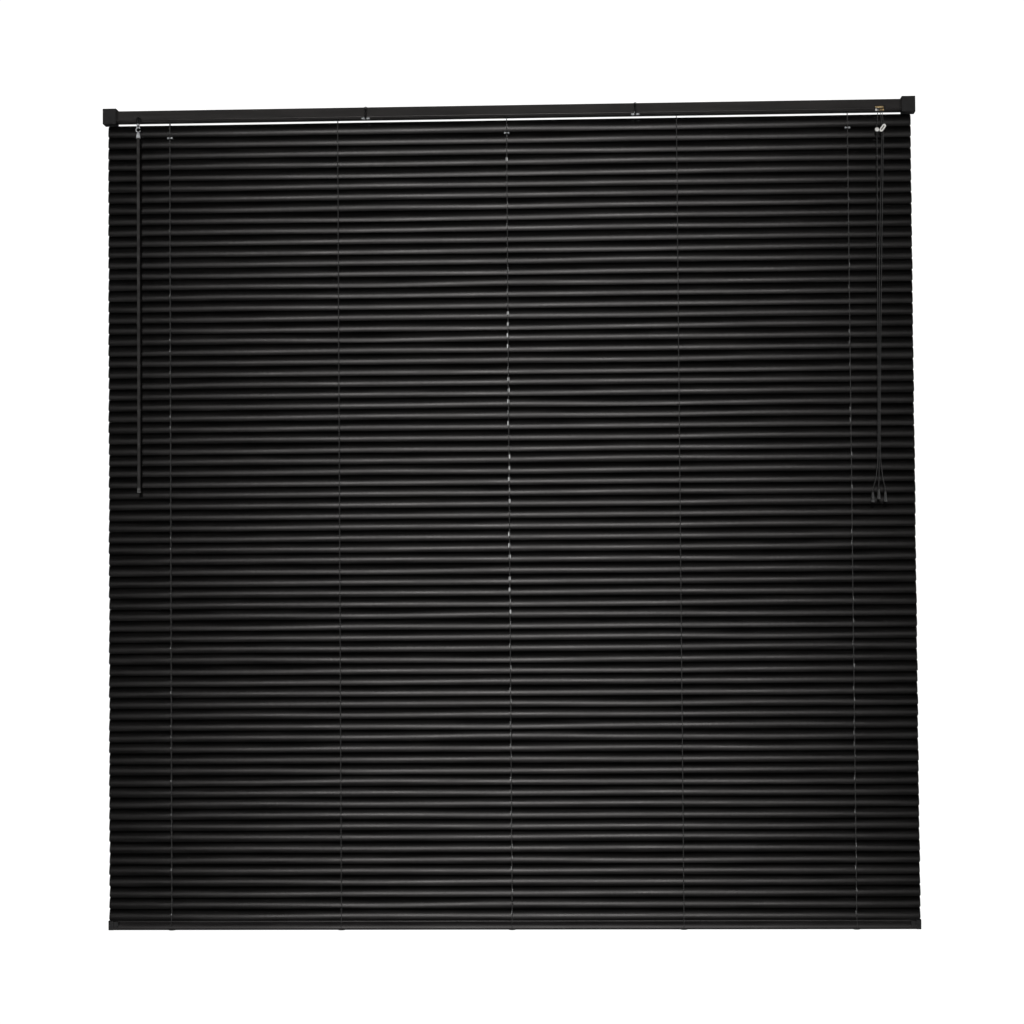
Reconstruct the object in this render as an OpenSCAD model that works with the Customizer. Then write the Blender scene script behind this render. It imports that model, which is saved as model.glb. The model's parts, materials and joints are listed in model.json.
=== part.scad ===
// Venetian blind with 25 mm slats, shown fully lowered and closed.
// Frame: X runs along the blind, the front faces -Y and +Z is up.
// Origin: the middle of the wall screws' pattern, on the back faces of the two brackets.

/* [Overall size] */
// Width of the blind across the outer faces of its brackets
blind_w = 1596; // [1396:10:1796]
// Number of slats
slat_count = 72; // [60:1:75]
// Height from one slat to the next
slat_pitch = 21.7; // [21:0.05:22]
// Height of the first slat's axis below the origin
first_drop = 29.5; // [29.5:0.5:34]

/* [Slats] */
// Width of a slat from edge to edge
slat_w = 25; // [24:0.5:26]
// Thickness of the slat strip
slat_t = 0.2; // [0.16:0.02:0.3]
// Height of the slat's crown above its edges
slat_crown = 1.2; // [0.8:0.1:1.4]
// Angle between a closed slat and the horizontal
closed_tilt = 74; // [72:1:76]
// Length of the hole that a lift cord passes through, across the slat
rout_l = 10; // [8:0.5:12]
// Width of that hole, along the slat
rout_w = 3; // [3:0.5:5]

/* [Headrail] */
// Depth of the headrail channel
headrail_d = 25; // [25:0.5:26]
// Height of the headrail channel
headrail_h = 22; // [22:0.5:23]
// Thickness of the channel's sheet
headrail_t = 0.6; // [0.5:0.1:0.7]

/* [Brackets] */
// Width of a bracket along the blind
bracket_w = 26; // [25:0.5:28]
// Height of a bracket
bracket_h = 31; // [31:0.5:32]
// Thickness of the brackets' sheet
bracket_t = 1.2; // [1:0.1:1.2]

/* [Tilter] */
// Teeth on the tilter's gear
gear_teeth = 12; // [12:1:12]
// How far the tilter's stem leans forward from upright
stem_lean = 30; // [29:1:31]
// Length of the wand below its ferrule
wand_l = 700; // [400:10:900]

/* [Cords and rail] */
// Diameter of the lift and pull cords
cord_d = 1.4; // [1.2:0.1:1.5]
// Diameter of the ladder strings
string_d = 1; // [0.8:0.1:1]
// Height of the bottom rail
rail_h = 18; // [13:0.5:20]

/* [Hidden] */
module_count = 15;
slat_l = blind_w - 16;
ladder_x = [for (i = [-2:2]) i * (slat_l - 246) / 4];
lift_x = [ladder_x[0], ladder_x[2], ladder_x[4]];
slat_y = -15;
lift_y = slat_y - 0.9;
half_chord = slat_w / 2;
chord_y = half_chord * cos(closed_tilt);
chord_z = half_chord * sin(closed_tilt);
rail_top = -first_drop - (slat_count - 1) * slat_pitch - chord_z - 0.8;
rail_bottom = rail_top - rail_h;

headrail_back = -2.5;
headrail_front = headrail_back - headrail_d;
headrail_top = 10;
headrail_floor = headrail_top - headrail_h;
headrail_end = blind_w / 2 - 4;
lip_w = 3;
lip_return = 2.8;

bracket_top = bracket_h / 2;
bracket_front = -29.5;
clip_x = [-277, 253];
jaw_w = 16;
strap_w = 4;

hinge_y = headrail_front;
hinge_z = bracket_top - 3.5;
hinge_r = 3.5;
pin_r = 1;
wall_screw_x = blind_w / 2 - bracket_w / 2;
wall_screw_z = 8;
screw_hole_r = 2.25;

rod_z = -3;
rod_r = 2.7;
tilter_x = -blind_w / 2 + 71;
gear_r = 4.4;
worm_r = 2.6;
worm_lead = 2 * PI * gear_r / gear_teeth;
worm_gap = gear_r + worm_r;
worm_y = slat_y - worm_gap * cos(stem_lean);
worm_z = rod_z + worm_gap * sin(stem_lean);
neck_t = 22.5;
neck_y = worm_y - neck_t * sin(stem_lean);
neck_z = worm_z - neck_t * cos(stem_lean);
hook_r = 4.4;
hook_z = neck_z - 9.6;
hook_wire = 0.7;
ferrule_top = hook_z - hook_r - 1.3;
ferrule_h = 11;
wand_r = 3.1;
wand_bottom = ferrule_top - ferrule_h - wand_l;

lock_x = blind_w / 2 - 69;
mouth_top = -2.5;
guide_y = headrail_front + 1.5;
guide_z = headrail_floor + 1.6;
guide_r = 2.4;
nip_y = -22.8;
nip_z = -4.6;
nip_r = 2.3;
stop_y = -31.8;
stop_z = -50;
ball_dx = -6;
ball_r = 4.2;
link_dx = 5;
link_rise = 3;
link_lean = 35;
link_l = 17;
link_w = 7.5;
link_t = 4;
link_cords = [3.6, 6.4];
tassel_h = 21;
tassel_inside = 5;
// Each pull cord's route below the cord lock: [shift along the blind, Y, Z]
pull_left = [[-4, -24.9, -7.4], [-4, -26.6, -7.2], [-4, -28.5, -8.4], [-3.6, -29.3, -10.6], [-6, -31.8, -43],
    [-6, -31.8, -58], [-8, -32.5, -300], [-11, -33, -640], [-15, -33, -720], [-22.5, -33, -751],
    [-22.5, -33, -761]];
pull_middle = [[0, -24.9, -7.4], [0, -26.6, -7.2], [0, -28.5, -8.4], [0, -29.3, -10.6], [3.6, -31.8, -38],
    [3.6, -31.8, -60], [-4, -32.5, -300], [-9, -33, -640], [-10, -33, -715], [-11, -33, -745],
    [-11, -33, -755]];
pull_right = [[4, -24.9, -7.4], [4, -26.6, -7.2], [4, -28.5, -8.4], [4, -29.3, -10.6], [6.4, -31.8, -38],
    [6.4, -31.8, -60], [0, -32.5, -300], [-7, -33, -640], [-4, -33, -720], [1.6, -33, -750],
    [1.6, -33, -760]];
pull_routes = [pull_left, pull_middle, pull_right];

black_steel = "#1c1b1b";
black_enamel = "#242323";
black_plastic = "#171717";
bright_steel = "#b9bcc0";
brass = "#b08d3e";
clear_plastic = "#c8d0d4";
white_plastic = "#e8e6e0";
black_cord = "#121212";

// Which slats belong to each of the blind's lifting groups, and which slat leads its group
function group_first(k) = floor(k * slat_count / module_count);
function group_lead(k) = group_first(k) + 2;
function two_digits(k) = str(k < 10 ? "0" : "", k);
function lead_name(k) = str("slat_", two_digits(k + 1));
function group_name(k) = str("slats_", two_digits(k + 1));

// ---- Helpers ----

// An outline drawn in (Y, Z) and extruded along X between two places
module along_x(from, to) {
    translate([from, 0, 0]) rotate([90, 0, 90]) linear_extrude(to - from) children();
}

// A box between two corners
module box(low, high) {
    translate(low) cube(high - low);
}

// A round bar along X
module bar_x(from, to, y, z, r, sides = 32) {
    translate([from, y, z]) rotate([0, 90, 0]) cylinder(h = to - from, r = r, $fn = sides);
}

// A shape placed in the tilter's frame: its Z runs up the stem, and the gear lies on its +Y side
module on_stem() {
    translate([tilter_x, worm_y, worm_z]) rotate([-stem_lean, 0, 0]) children();
}

// An obround outline, wide along X
module obround(w, d, sides = 32) {
    square([w - d, d], center = true);
    for (s = [-1, 1]) translate([s * (w - d) / 2, 0]) circle(d = d, $fn = sides);
}

// The direction along a route at its point i
function heading(route, i) =
    let (a = route[max(i - 1, 0)], b = route[min(i + 1, len(route) - 1)]) (b - a) / norm(b - a);

// Points round a cord at one point of its route
function ring(p, along, r, sides) =
    let (u = cross(along, [1, 0, 0]) / norm(cross(along, [1, 0, 0])), v = cross(along, u))
    [for (j = [0:sides - 1]) p + r * (cos(360 * j / sides) * u + sin(360 * j / sides) * v)];

// A cord swept along a route of points
module cord(route, r, sides = 8) {
    last = len(route) - 1;
    points = [for (i = [0:last]) each ring(route[i], heading(route, i), r, sides)];
    walls = [for (i = [0:last - 1]) for (j = [0:sides - 1])
        let (a = i * sides + j, b = i * sides + (j + 1) % sides) [a, b, b + sides, a + sides]];
    start = [for (j = [sides - 1:-1:0]) j];
    end = [for (j = [0:sides - 1]) last * sides + j];
    polyhedron(points = points, faces = concat(walls, [start, end]), convexity = 4);
}

// ---- Headrail and brackets ----

module headrail_outline() {
    difference() {
        translate([headrail_front, headrail_floor]) square([headrail_d, headrail_h]);
        translate([headrail_front + headrail_t, headrail_floor + headrail_t])
            square([headrail_d - 2 * headrail_t, headrail_h - 2 * headrail_t]);
        translate([headrail_front + headrail_t + lip_w, headrail_top - headrail_t - 1])
            square([headrail_d - 2 * (headrail_t + lip_w), headrail_t + 2]);
    }
    for (y = [headrail_front + lip_w, headrail_back - lip_w - headrail_t])
        translate([y, headrail_top - lip_return]) square([headrail_t, lip_return]);
}

module headrail() {
    color(black_enamel) difference() {
        along_x(-headrail_end, headrail_end) headrail_outline();
        // slots that the ladders and lift cords pass through
        for (x = ladder_x)
            box([x - 3.5, -25, headrail_floor - 1], [x + 3.5, -5, headrail_floor + headrail_t + 0.5]);
        // arched hole for the tilter's stem
        on_stem() translate([0, 0, -20]) cylinder(h = 15.4, r = 4.9, $fn = 48);
        // opening for the cord lock's nose and rollers
        box([lock_x - 11, headrail_front - 1, headrail_floor - 1], [lock_x + 11, -22.8, mouth_top]);
    }
}

module headrail_end_cap() {
    box([headrail_end, headrail_front, headrail_floor], [headrail_end + 1.4, headrail_back, headrail_top]);
    difference() {
        box([headrail_end - 8, headrail_front + 0.8, headrail_floor + 0.8],
            [headrail_end, headrail_back - 0.8, headrail_top - lip_return - 0.3]);
        box([headrail_end - 9, headrail_front + 2.4, headrail_floor + 2.4],
            [headrail_end - 1.5, headrail_back - 2.4, headrail_top + 1]);
    }
}

module headrail_end_caps() {
    color(black_plastic) {
        headrail_end_cap();
        mirror([1, 0, 0]) headrail_end_cap();
    }
}

// A bracket's cheek, in (Y, Z), notched so that the door's curled edge can turn
module cheek_outline() {
    difference() {
        union() {
            difference() {
                translate([bracket_front, -bracket_top]) square([-bracket_front, bracket_h]);
                translate([bracket_front - 1, hinge_z - 0.9]) square([-22.5 - bracket_front, 9]);
            }
            translate([hinge_y, hinge_z]) circle(r = 2, $fn = 32);
        }
        translate([hinge_y, hinge_z]) circle(r = pin_r + 0.3, $fn = 32);
    }
}

// The small ear that carries the door's inner pin, above the headrail
module ear_outline() {
    difference() {
        union() {
            intersection() {
                translate([hinge_y, hinge_z]) circle(r = 2, $fn = 32);
                translate([-40, headrail_top + 0.3]) square([30, 9]);
            }
            translate([hinge_y, headrail_top + 0.3]) square([10, 0.7]);
            translate([-23.5, headrail_top + 0.3]) square([6, bracket_top - headrail_top - 0.3]);
        }
        translate([hinge_y, hinge_z]) circle(r = pin_r + 0.3, $fn = 32);
    }
}

module bracket() {
    outer = blind_w / 2;
    inner = outer - bracket_w;
    difference() {
        union() {
            box([inner, -bracket_t, -bracket_top], [outer, 0, bracket_top]);
            box([inner, bracket_front, -bracket_top], [outer, 0, -bracket_top + bracket_t]);
            box([inner, -23.5, bracket_top - bracket_t], [outer, 0, bracket_top]);
            along_x(outer - bracket_t, outer) cheek_outline();
            along_x(inner, inner + bracket_t) ear_outline();
            // ribs that the headrail sits on and against
            for (x = [inner + 4, outer - 8]) {
                box([x, -26, -bracket_top + bracket_t], [x + 2, -4, headrail_floor]);
                box([x, headrail_back, -9], [x + 2, -bracket_t, 9]);
            }
        }
        for (z = [-wall_screw_z, wall_screw_z])
            translate([wall_screw_x, 1, z]) rotate([90, 0, 0]) cylinder(h = 4, r = screw_hole_r, $fn = 32);
        for (y = [-8, -17])
            translate([wall_screw_x, y, bracket_top - 3]) cylinder(h = 4, r = screw_hole_r, $fn = 32);
    }
}

module bracket_right() {
    color(black_steel) bracket();
}

module bracket_left() {
    color(black_steel) mirror([1, 0, 0]) bracket();
}

// A quarter of a ring about the door's hinge, from its front to its top
module quarter(r_in, r_out) {
    translate([hinge_y, hinge_z]) intersection() {
        difference() {
            circle(r = r_out, $fn = 48);
            if (r_in > 0) circle(r = r_in, $fn = 48);
        }
        translate([-9, 0]) square([9, 9]);
    }
}

module bracket_door() {
    outer = blind_w / 2;
    inner = outer - bracket_w;
    along_x(inner, outer) {
        translate([hinge_y - hinge_r, -bracket_top]) square([bracket_t, hinge_z + bracket_top]);
        quarter(hinge_r - bracket_t, hinge_r);
    }
    for (x = [outer - 2.4, inner + bracket_t + 0.3]) along_x(x, x + 0.9) {
        quarter(0, hinge_r - 0.6);
        translate([hinge_y, hinge_z]) circle(r = pin_r, $fn = 32);
    }
    bar_x(outer - 2, outer, hinge_y, hinge_z, pin_r);
    bar_x(inner, inner + bracket_t + 0.8, hinge_y, hinge_z, pin_r);
    // thumb ridge that the door is opened by
    box([outer - 17, hinge_y - hinge_r - 0.8, -bracket_top + 1.5],
        [outer - 9, hinge_y - hinge_r, -bracket_top + 2.7]);
}

module bracket_door_right() {
    color(black_steel) bracket_door();
}

module bracket_door_left() {
    color(black_steel) mirror([1, 0, 0]) bracket_door();
}

// A clip hooked round the headrail: a narrow strap up its front and a wide jaw below it
module valance_clip(x) {
    gap = 0.2;
    t = 0.9;
    face = headrail_front - gap;
    under = headrail_floor - gap;
    over = headrail_top + gap;
    along_x(x - strap_w / 2, x + strap_w / 2)
        polygon([[face - t, under - t], [face + 5, under - t], [face + 5, under], [face, under], [face, over],
            [face + 5, over], [face + 5, over + t], [face - t, over + t]]);
    // the wide jaw under the headrail, with its low front lip
    along_x(x - jaw_w / 2, x + jaw_w / 2)
        polygon([[face - t, under - t], [face + 7, under - t], [face + 7, under], [face, under],
            [face, under + 1.8], [face - t, under + 1.8]]);
}

module valance_clips() {
    color(clear_plastic) for (x = clip_x) valance_clip(x);
}

// ---- Tilting gear inside the headrail ----

module tilt_rod() {
    color(bright_steel) bar_x(tilter_x - 18, ladder_x[4] + 16, slat_y, rod_z, rod_r, 6);
}

module ladder_drum(x) {
    difference() {
        union() {
            bar_x(x - 10.8, x + 10.8, slat_y, rod_z, 5);
            bar_x(x - 7.2, x + 7.2, slat_y, rod_z, 7, 48);
            for (s = [-7.2, 6.2]) bar_x(x + s, x + s + 1, slat_y, rod_z, 8, 48);
        }
        bar_x(x - 12, x + 12, slat_y, rod_z, rod_r + 0.2, 6);
    }
}

module ladder_drums() {
    color(white_plastic) for (x = ladder_x) ladder_drum(x);
}

module ladder_cradle(x) {
    floor_z = headrail_floor + headrail_t;
    difference() {
        union() {
            box([x - 10.6, -26.4, floor_z], [x + 10.6, -3.6, floor_z + 1.8]);
            for (s = [-10.6, 8.6]) box([x + s, -21.5, floor_z + 1.8], [x + s + 2, -8.5, rod_z + 4]);
        }
        box([x - 7.7, -24.5, floor_z - 1], [x + 7.7, -5.5, floor_z + 3]);
        bar_x(x - 12, x + 12, slat_y, rod_z, 5.3, 48);
        box([x - 12, slat_y - 5.3, rod_z], [x + 12, slat_y + 5.3, rod_z + 9]);
    }
}

module ladder_cradles() {
    color(black_plastic) for (x = ladder_x) ladder_cradle(x);
}

module tilter_housing() {
    low = [tilter_x - 9, headrail_front + 0.9, headrail_floor + 0.8];
    high = [tilter_x + 9, headrail_back - 0.9, 6.8];
    color(black_plastic) difference() {
        union() {
            for (x = [low.x, high.x - 2]) box([x, low.y, low.z], [x + 2, high.y, high.z]);
            box([low.x, high.y - 1.5, low.z], high);
            box([low.x, -12, low.z], [high.x, high.y, low.z + 1.6]);
            // upper bearing of the worm
            on_stem() box([-9, -3.4, 5.9], [9, 3.4, 8.1]);
            // lower bearing and the sleeve that the stem comes out of
            intersection() {
                on_stem() box([-9, -6, -9], [9, 5, -5.6]);
                box([low.x, low.y, low.z], high);
            }
            on_stem() translate([0, 0, -14]) cylinder(h = 6, r = 4.5, $fn = 48);
        }
        bar_x(low.x - 1, high.x + 1, slat_y, rod_z, 3.9);
        on_stem() translate([0, 0, -16]) cylinder(h = 12, r = 3.3, $fn = 48);
        on_stem() translate([0, 0, 5]) cylinder(h = 5, r = 2.3);
    }
}

// One tooth's points, from root to tip and back, at angle a
function tooth(a) = [for (p = [[3.6, -8.5], [5, -3], [5, 3], [3.6, 8.5]])
    p[0] * [cos(a + p[1]), sin(a + p[1])]];

module tilter_gear() {
    step = 360 / gear_teeth;
    color(white_plastic) translate([tilter_x, slat_y, rod_z]) difference() {
        union() {
            translate([-1.5, 0, 0]) rotate([90, 0, 90]) linear_extrude(3)
                polygon([for (i = [0:gear_teeth - 1]) each tooth(180 - stem_lean + (i + 0.5) * step)]);
            rotate([0, 90, 0]) translate([0, 0, -9.6]) cylinder(h = 19.2, r = 3.6, $fn = 32);
        }
        rotate([0, 90, 0]) translate([0, 0, -12]) cylinder(h = 24, r = rod_r + 0.2, $fn = 6);
    }
}

// The worm thread's radius at angle a round the worm
function thread_r(a) = let (off = abs(a > 180 ? a - 360 : a)) max(1.9, min(3, 3 - 1.1 * (off - 27) / 51));

module tilter_worm() {
    low = -4.5;
    length = 10;
    turns = length / worm_lead;
    color(white_plastic) on_stem() translate([0, 0, low]) rotate([0, 0, 90 - 360 * low / worm_lead])
        linear_extrude(length, twist = -360 * turns, slices = 84)
            polygon([for (i = [0:23]) thread_r(15 * i) * [cos(15 * i), sin(15 * i)]]);
}

module tilter_stem() {
    color(black_plastic) on_stem() {
        translate([0, 0, 5.5]) cylinder(h = 3, r = 2, $fn = 32);
        rotate_extrude($fn = 48) polygon([[0, -4.5], [1.8, -4.5], [1.8, -5], [3, -5], [3, 2.2 - neck_t],
            [1.2, 1.8 - neck_t], [1.2, -1.8 - neck_t], [1.7, -2.2 - neck_t], [1.5, -3.4 - neck_t],
            [0, -3.8 - neck_t]]);
    }
}

module wand_hook() {
    color(bright_steel) {
        // ring round the stem's neck
        on_stem() translate([0, 0, -neck_t]) rotate_extrude($fn = 48)
            translate([2.65, 0]) circle(r = hook_wire, $fn = 20);
        // open hook below it, and the swivel pin that holds the ferrule
        translate([tilter_x, neck_y, 0]) {
            for (s = [-1, 1]) translate([s * 2.65, 0, hook_z + 3.4])
                cylinder(h = neck_z - hook_z - 3.4, r = hook_wire - 0.05, $fn = 20);
            translate([0, 0, hook_z]) difference() {
                rotate([90, 0, 0]) rotate_extrude($fn = 48)
                    translate([hook_r, 0]) circle(r = hook_wire, $fn = 20);
                rotate([0, -6, 0]) box([3, -2, -2.4], [7, 2, 2.4]);
            }
            translate([0, 0, ferrule_top - 3.2])
                cylinder(h = hook_z - hook_r - ferrule_top + 3.2, r = hook_wire - 0.05, $fn = 20);
            translate([0, 0, ferrule_top - 3.2]) cylinder(h = 1, r = 1.5, $fn = 20);
        }
    }
}

module wand_ferrule() {
    color(bright_steel) translate([tilter_x, neck_y, ferrule_top]) rotate_extrude($fn = 48)
        polygon([[1.1, 0], [1.9, 0], [3, -1.5], [3.7, -4.5], [4, -ferrule_h + 1.5], [4.6, -ferrule_h],
            [3.3, -ferrule_h], [3.3, -5], [2, -5], [2, -1.6], [1.1, -1.6]]);
}

module wand() {
    color(black_plastic) translate([tilter_x, neck_y, 0]) {
        translate([0, 0, wand_bottom + 9])
            cylinder(h = ferrule_top - 5.2 - wand_bottom - 9, r = wand_r, $fn = 6);
        translate([0, 0, wand_bottom]) cylinder(h = 7, r1 = 3.9, r2 = 3.3, $fn = 32);
        translate([0, 0, wand_bottom + 7]) cylinder(h = 2, r = 3.3, $fn = 32);
    }
}

// ---- Cord lock and pull cords ----

module cord_lock() {
    low = [lock_x - 10.5, headrail_front + 0.9, headrail_floor + 0.8];
    high = [lock_x + 10.5, -6, 6.6];
    travel = 4;
    color(black_plastic) difference() {
        union() {
            for (x = [low.x, high.x - 1.5]) {
                box([x, low.y, low.z], [x + 1.5, high.y, high.z]);
                box([x, headrail_front, headrail_floor], [x + 1.5, -23, mouth_top - 0.2]);
            }
            box([low.x, high.y - 2, low.z], high);
            box([low.x, -20, low.z], [high.x, high.y, low.z + 1.4]);
            // the ramp that the cords are nipped against
            box([low.x, -17, low.z], [high.x, -15, 1]);
        }
        // slots that the moving roller's ends ride in
        for (s = [0, travel]) bar_x(low.x - 1, high.x + 1, nip_y + s / 2, nip_z + s * cos(30), 1.5);
        translate([lock_x, nip_y, nip_z]) rotate([-30, 0, 0]) box([-12, -1.5, 0], [12, 1.5, travel]);
        bar_x(low.x - 1, high.x + 1, guide_y, guide_z, 1.3);
    }
}

module cord_lock_roller() {
    color(brass) difference() {
        union() {
            bar_x(lock_x - 7.8, lock_x + 7.8, nip_y, nip_z, nip_r);
            bar_x(lock_x - 10.3, lock_x + 10.3, nip_y, nip_z, 1.2);
        }
        // grooves round the roller
        for (x = [-6:2:6]) translate([lock_x + x, nip_y, nip_z]) rotate([0, 90, 0])
            rotate_extrude($fn = 32) translate([nip_r + 0.1, 0]) circle(r = 0.4, $fn = 4);
    }
}

module cord_guide_roller() {
    color(white_plastic) {
        bar_x(lock_x - 8.2, lock_x - 2, guide_y, guide_z, guide_r);
        bar_x(lock_x - 1.2, lock_x + 8.2, guide_y, guide_z, guide_r);
        bar_x(lock_x - 10.4, lock_x + 10.4, guide_y, guide_z, 1);
    }
}

module cord_stops() {
    color(white_plastic) {
        // a ball on the left cord
        translate([lock_x + ball_dx, stop_y, stop_z]) difference() {
            sphere(r = ball_r, $fn = 40);
            cylinder(h = 12, r = 1.1, center = true, $fn = 24);
        }
        // a leaning link on the other two, which run down through its holes
        difference() {
            translate([lock_x + link_dx, stop_y, stop_z + link_rise]) rotate([90, link_lean - 90, 0])
                linear_extrude(link_t, center = true) obround(link_l, link_w);
            for (x = link_cords)
                translate([lock_x + x, stop_y, stop_z]) cylinder(h = 30, r = 1.05, center = true, $fn = 24);
            // a groove down the link's face
            translate([lock_x + link_dx, stop_y - link_t / 2, stop_z + link_rise])
                rotate([90, link_lean - 90, 0]) linear_extrude(1.4, center = true) obround(link_l - 6, 2);
        }
    }
}

module pull_cords() {
    color(black_cord) for (route = pull_routes)
        cord([for (p = route) p + [lock_x, 0, 0]], cord_d / 2);
}

module tassels() {
    color(black_plastic) for (route = pull_routes)
        translate([lock_x, 0, tassel_inside - tassel_h] + route[len(route) - 1])
            rotate_extrude($fn = 40)
                polygon([[0.9, tassel_h], [1.6, tassel_h], [1.9, 19.5], [2.3, 13], [3.2, 4], [3.5, 1.5],
                    [3.2, 0], [2.4, 0], [2.4, 5], [0.9, 8]]);
}

// ---- Ladders and lift cords ----

// The strings run from the drums, through the headrail's slots and down beside the slats' edges
module ladder_strings(side) {
    away = chord_y + 0.15 + string_d / 2;
    color(black_cord) for (x = ladder_x) cord([[x, slat_y + side * 7.6, rod_z],
        [x, slat_y + side * 7.6, headrail_floor], [x, slat_y + side * away, -first_drop + chord_z + 1],
        [x, slat_y + side * away, rail_top + 1]], string_d / 2);
}

module ladder_front_strings() {
    ladder_strings(-1);
}

module ladder_rear_strings() {
    ladder_strings(1);
}

module lift_cords() {
    color(black_cord) for (x = lift_x)
        cord([[x, lift_y, headrail_floor + 1], [x, lift_y, rail_top]], cord_d / 2);
}

module inner_cord_stops() {
    color(white_plastic) for (x = lift_x) translate([x, lift_y, -first_drop - chord_z - 2.2]) difference() {
        linear_extrude(3) obround(9.6, 3.6);
        translate([0, 0, -1]) cylinder(h = 6, r = cord_d / 2 + 0.2, $fn = 24);
    }
}

// ---- Bottom rail ----

// A quarter turn of a rounded corner about c, starting at angle a
function corner(c, r, a) = [for (i = [0:4]) c + r * [cos(a + 22.5 * i), sin(a + 22.5 * i)]];

// The bottom rail's outline, grown by g: a flat top, a gently bowed front and rounded lower edges
module rail_outline(g) {
    w = 12.5 + g;
    polygon(concat(
        corner([w - 2, rail_h - 2 + g], 2, 0),
        corner([2 - w, rail_h - 2 + g], 2, 90),
        corner([4.5 - w, 4.5 - g], 4.5, 180),
        corner([w - 4.5, 4.5 - g], 4.5, 270)
    ));
}

module bottom_rail() {
    end = slat_l / 2 - 9;
    color(black_enamel) translate([0, slat_y, rail_bottom]) difference() {
        along_x(-end, end) rail_outline(0);
        along_x(-end - 1, end + 1) rail_outline(-0.7);
        for (x = ladder_x) translate([x, 0, -1]) cylinder(h = 3, r = 4.2, $fn = 32);
        for (x = lift_x) translate([x, lift_y - slat_y, rail_h - 2]) cylinder(h = 4, r = 1.5, $fn = 24);
    }
}

module rail_cap() {
    end = slat_l / 2 - 9;
    along_x(end, end + 9) rail_outline(0.5);
    along_x(end - 10, end) rail_outline(-0.9);
}

module bottom_rail_caps() {
    color(black_plastic) translate([0, slat_y, rail_bottom]) {
        rail_cap();
        mirror([1, 0, 0]) rail_cap();
    }
}

module ladder_buttons() {
    color(black_plastic) for (x = ladder_x) translate([x, slat_y, rail_bottom]) {
        translate([0, 0, -1.4]) cylinder(h = 1.4, r = 6.5, $fn = 48);
        cylinder(h = 4, r = 3.9, $fn = 32);
    }
}

// ---- Slats ----

// A point of the slat's arched section: s runs from -1 at one edge to 1 at the other
slat_radius = (half_chord * half_chord + slat_crown * slat_crown) / (2 * slat_crown);
slat_half_angle = asin(half_chord / slat_radius);
function arch(s, r) = [r * sin(s * slat_half_angle), r * cos(s * slat_half_angle) - slat_radius + slat_crown];

module slat_section() {
    steps = 10;
    polygon(concat(
        [for (i = [0:steps]) arch(-1 + 2 * i / steps, slat_radius)],
        [for (i = [steps:-1:0]) arch(-1 + 2 * i / steps, slat_radius - slat_t)]
    ));
}

// One slat lying flat, crown up, with its axis on X
module flat_slat() {
    intersection() {
        along_x(-slat_l / 2, slat_l / 2) slat_section();
        translate([0, 0, -5]) linear_extrude(10) difference() {
            union() {
                square([slat_l - 8, slat_w + 1], center = true);
                square([slat_l, slat_w - 8], center = true);
                for (x = [-1, 1], y = [-1, 1])
                    translate([x * (slat_l / 2 - 4), y * (half_chord - 4)]) circle(r = 4, $fn = 12);
            }
            for (x = lift_x) translate([x, 0]) rotate([0, 0, 90]) obround(rout_l, rout_w, 12);
        }
    }
}

// Slat i closed: its front edge down and its crown to the front
module slat(i) {
    translate([0, slat_y, -first_drop - i * slat_pitch]) rotate([closed_tilt, 0, 0]) flat_slat();
}

module lead_slat(k) {
    color(black_enamel) slat(group_lead(k));
}

module other_slats(k) {
    color(black_enamel) for (i = [group_first(k):group_first(k + 1) - 1]) if (i != group_lead(k)) slat(i);
}

// ---- What each node shows ----

headrail();
headrail_end_caps();
bracket_left();
bracket_right();
bracket_door_left();
bracket_door_right();
valance_clips();
tilt_rod();
ladder_drums();
ladder_cradles();
tilter_housing();
tilter_gear();
tilter_worm();
tilter_stem();
wand_hook();
wand_ferrule();
wand();
cord_lock();
cord_lock_roller();
cord_guide_roller();
cord_stops();
pull_cords();
tassels();
ladder_front_strings();
ladder_rear_strings();
lift_cords();
inner_cord_stops();
bottom_rail();
bottom_rail_caps();
ladder_buttons();
for (k = [0:module_count - 1]) lead_slat(k);
for (k = [0:module_count - 1]) other_slats(k);
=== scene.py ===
import json
import math
import random

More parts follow.
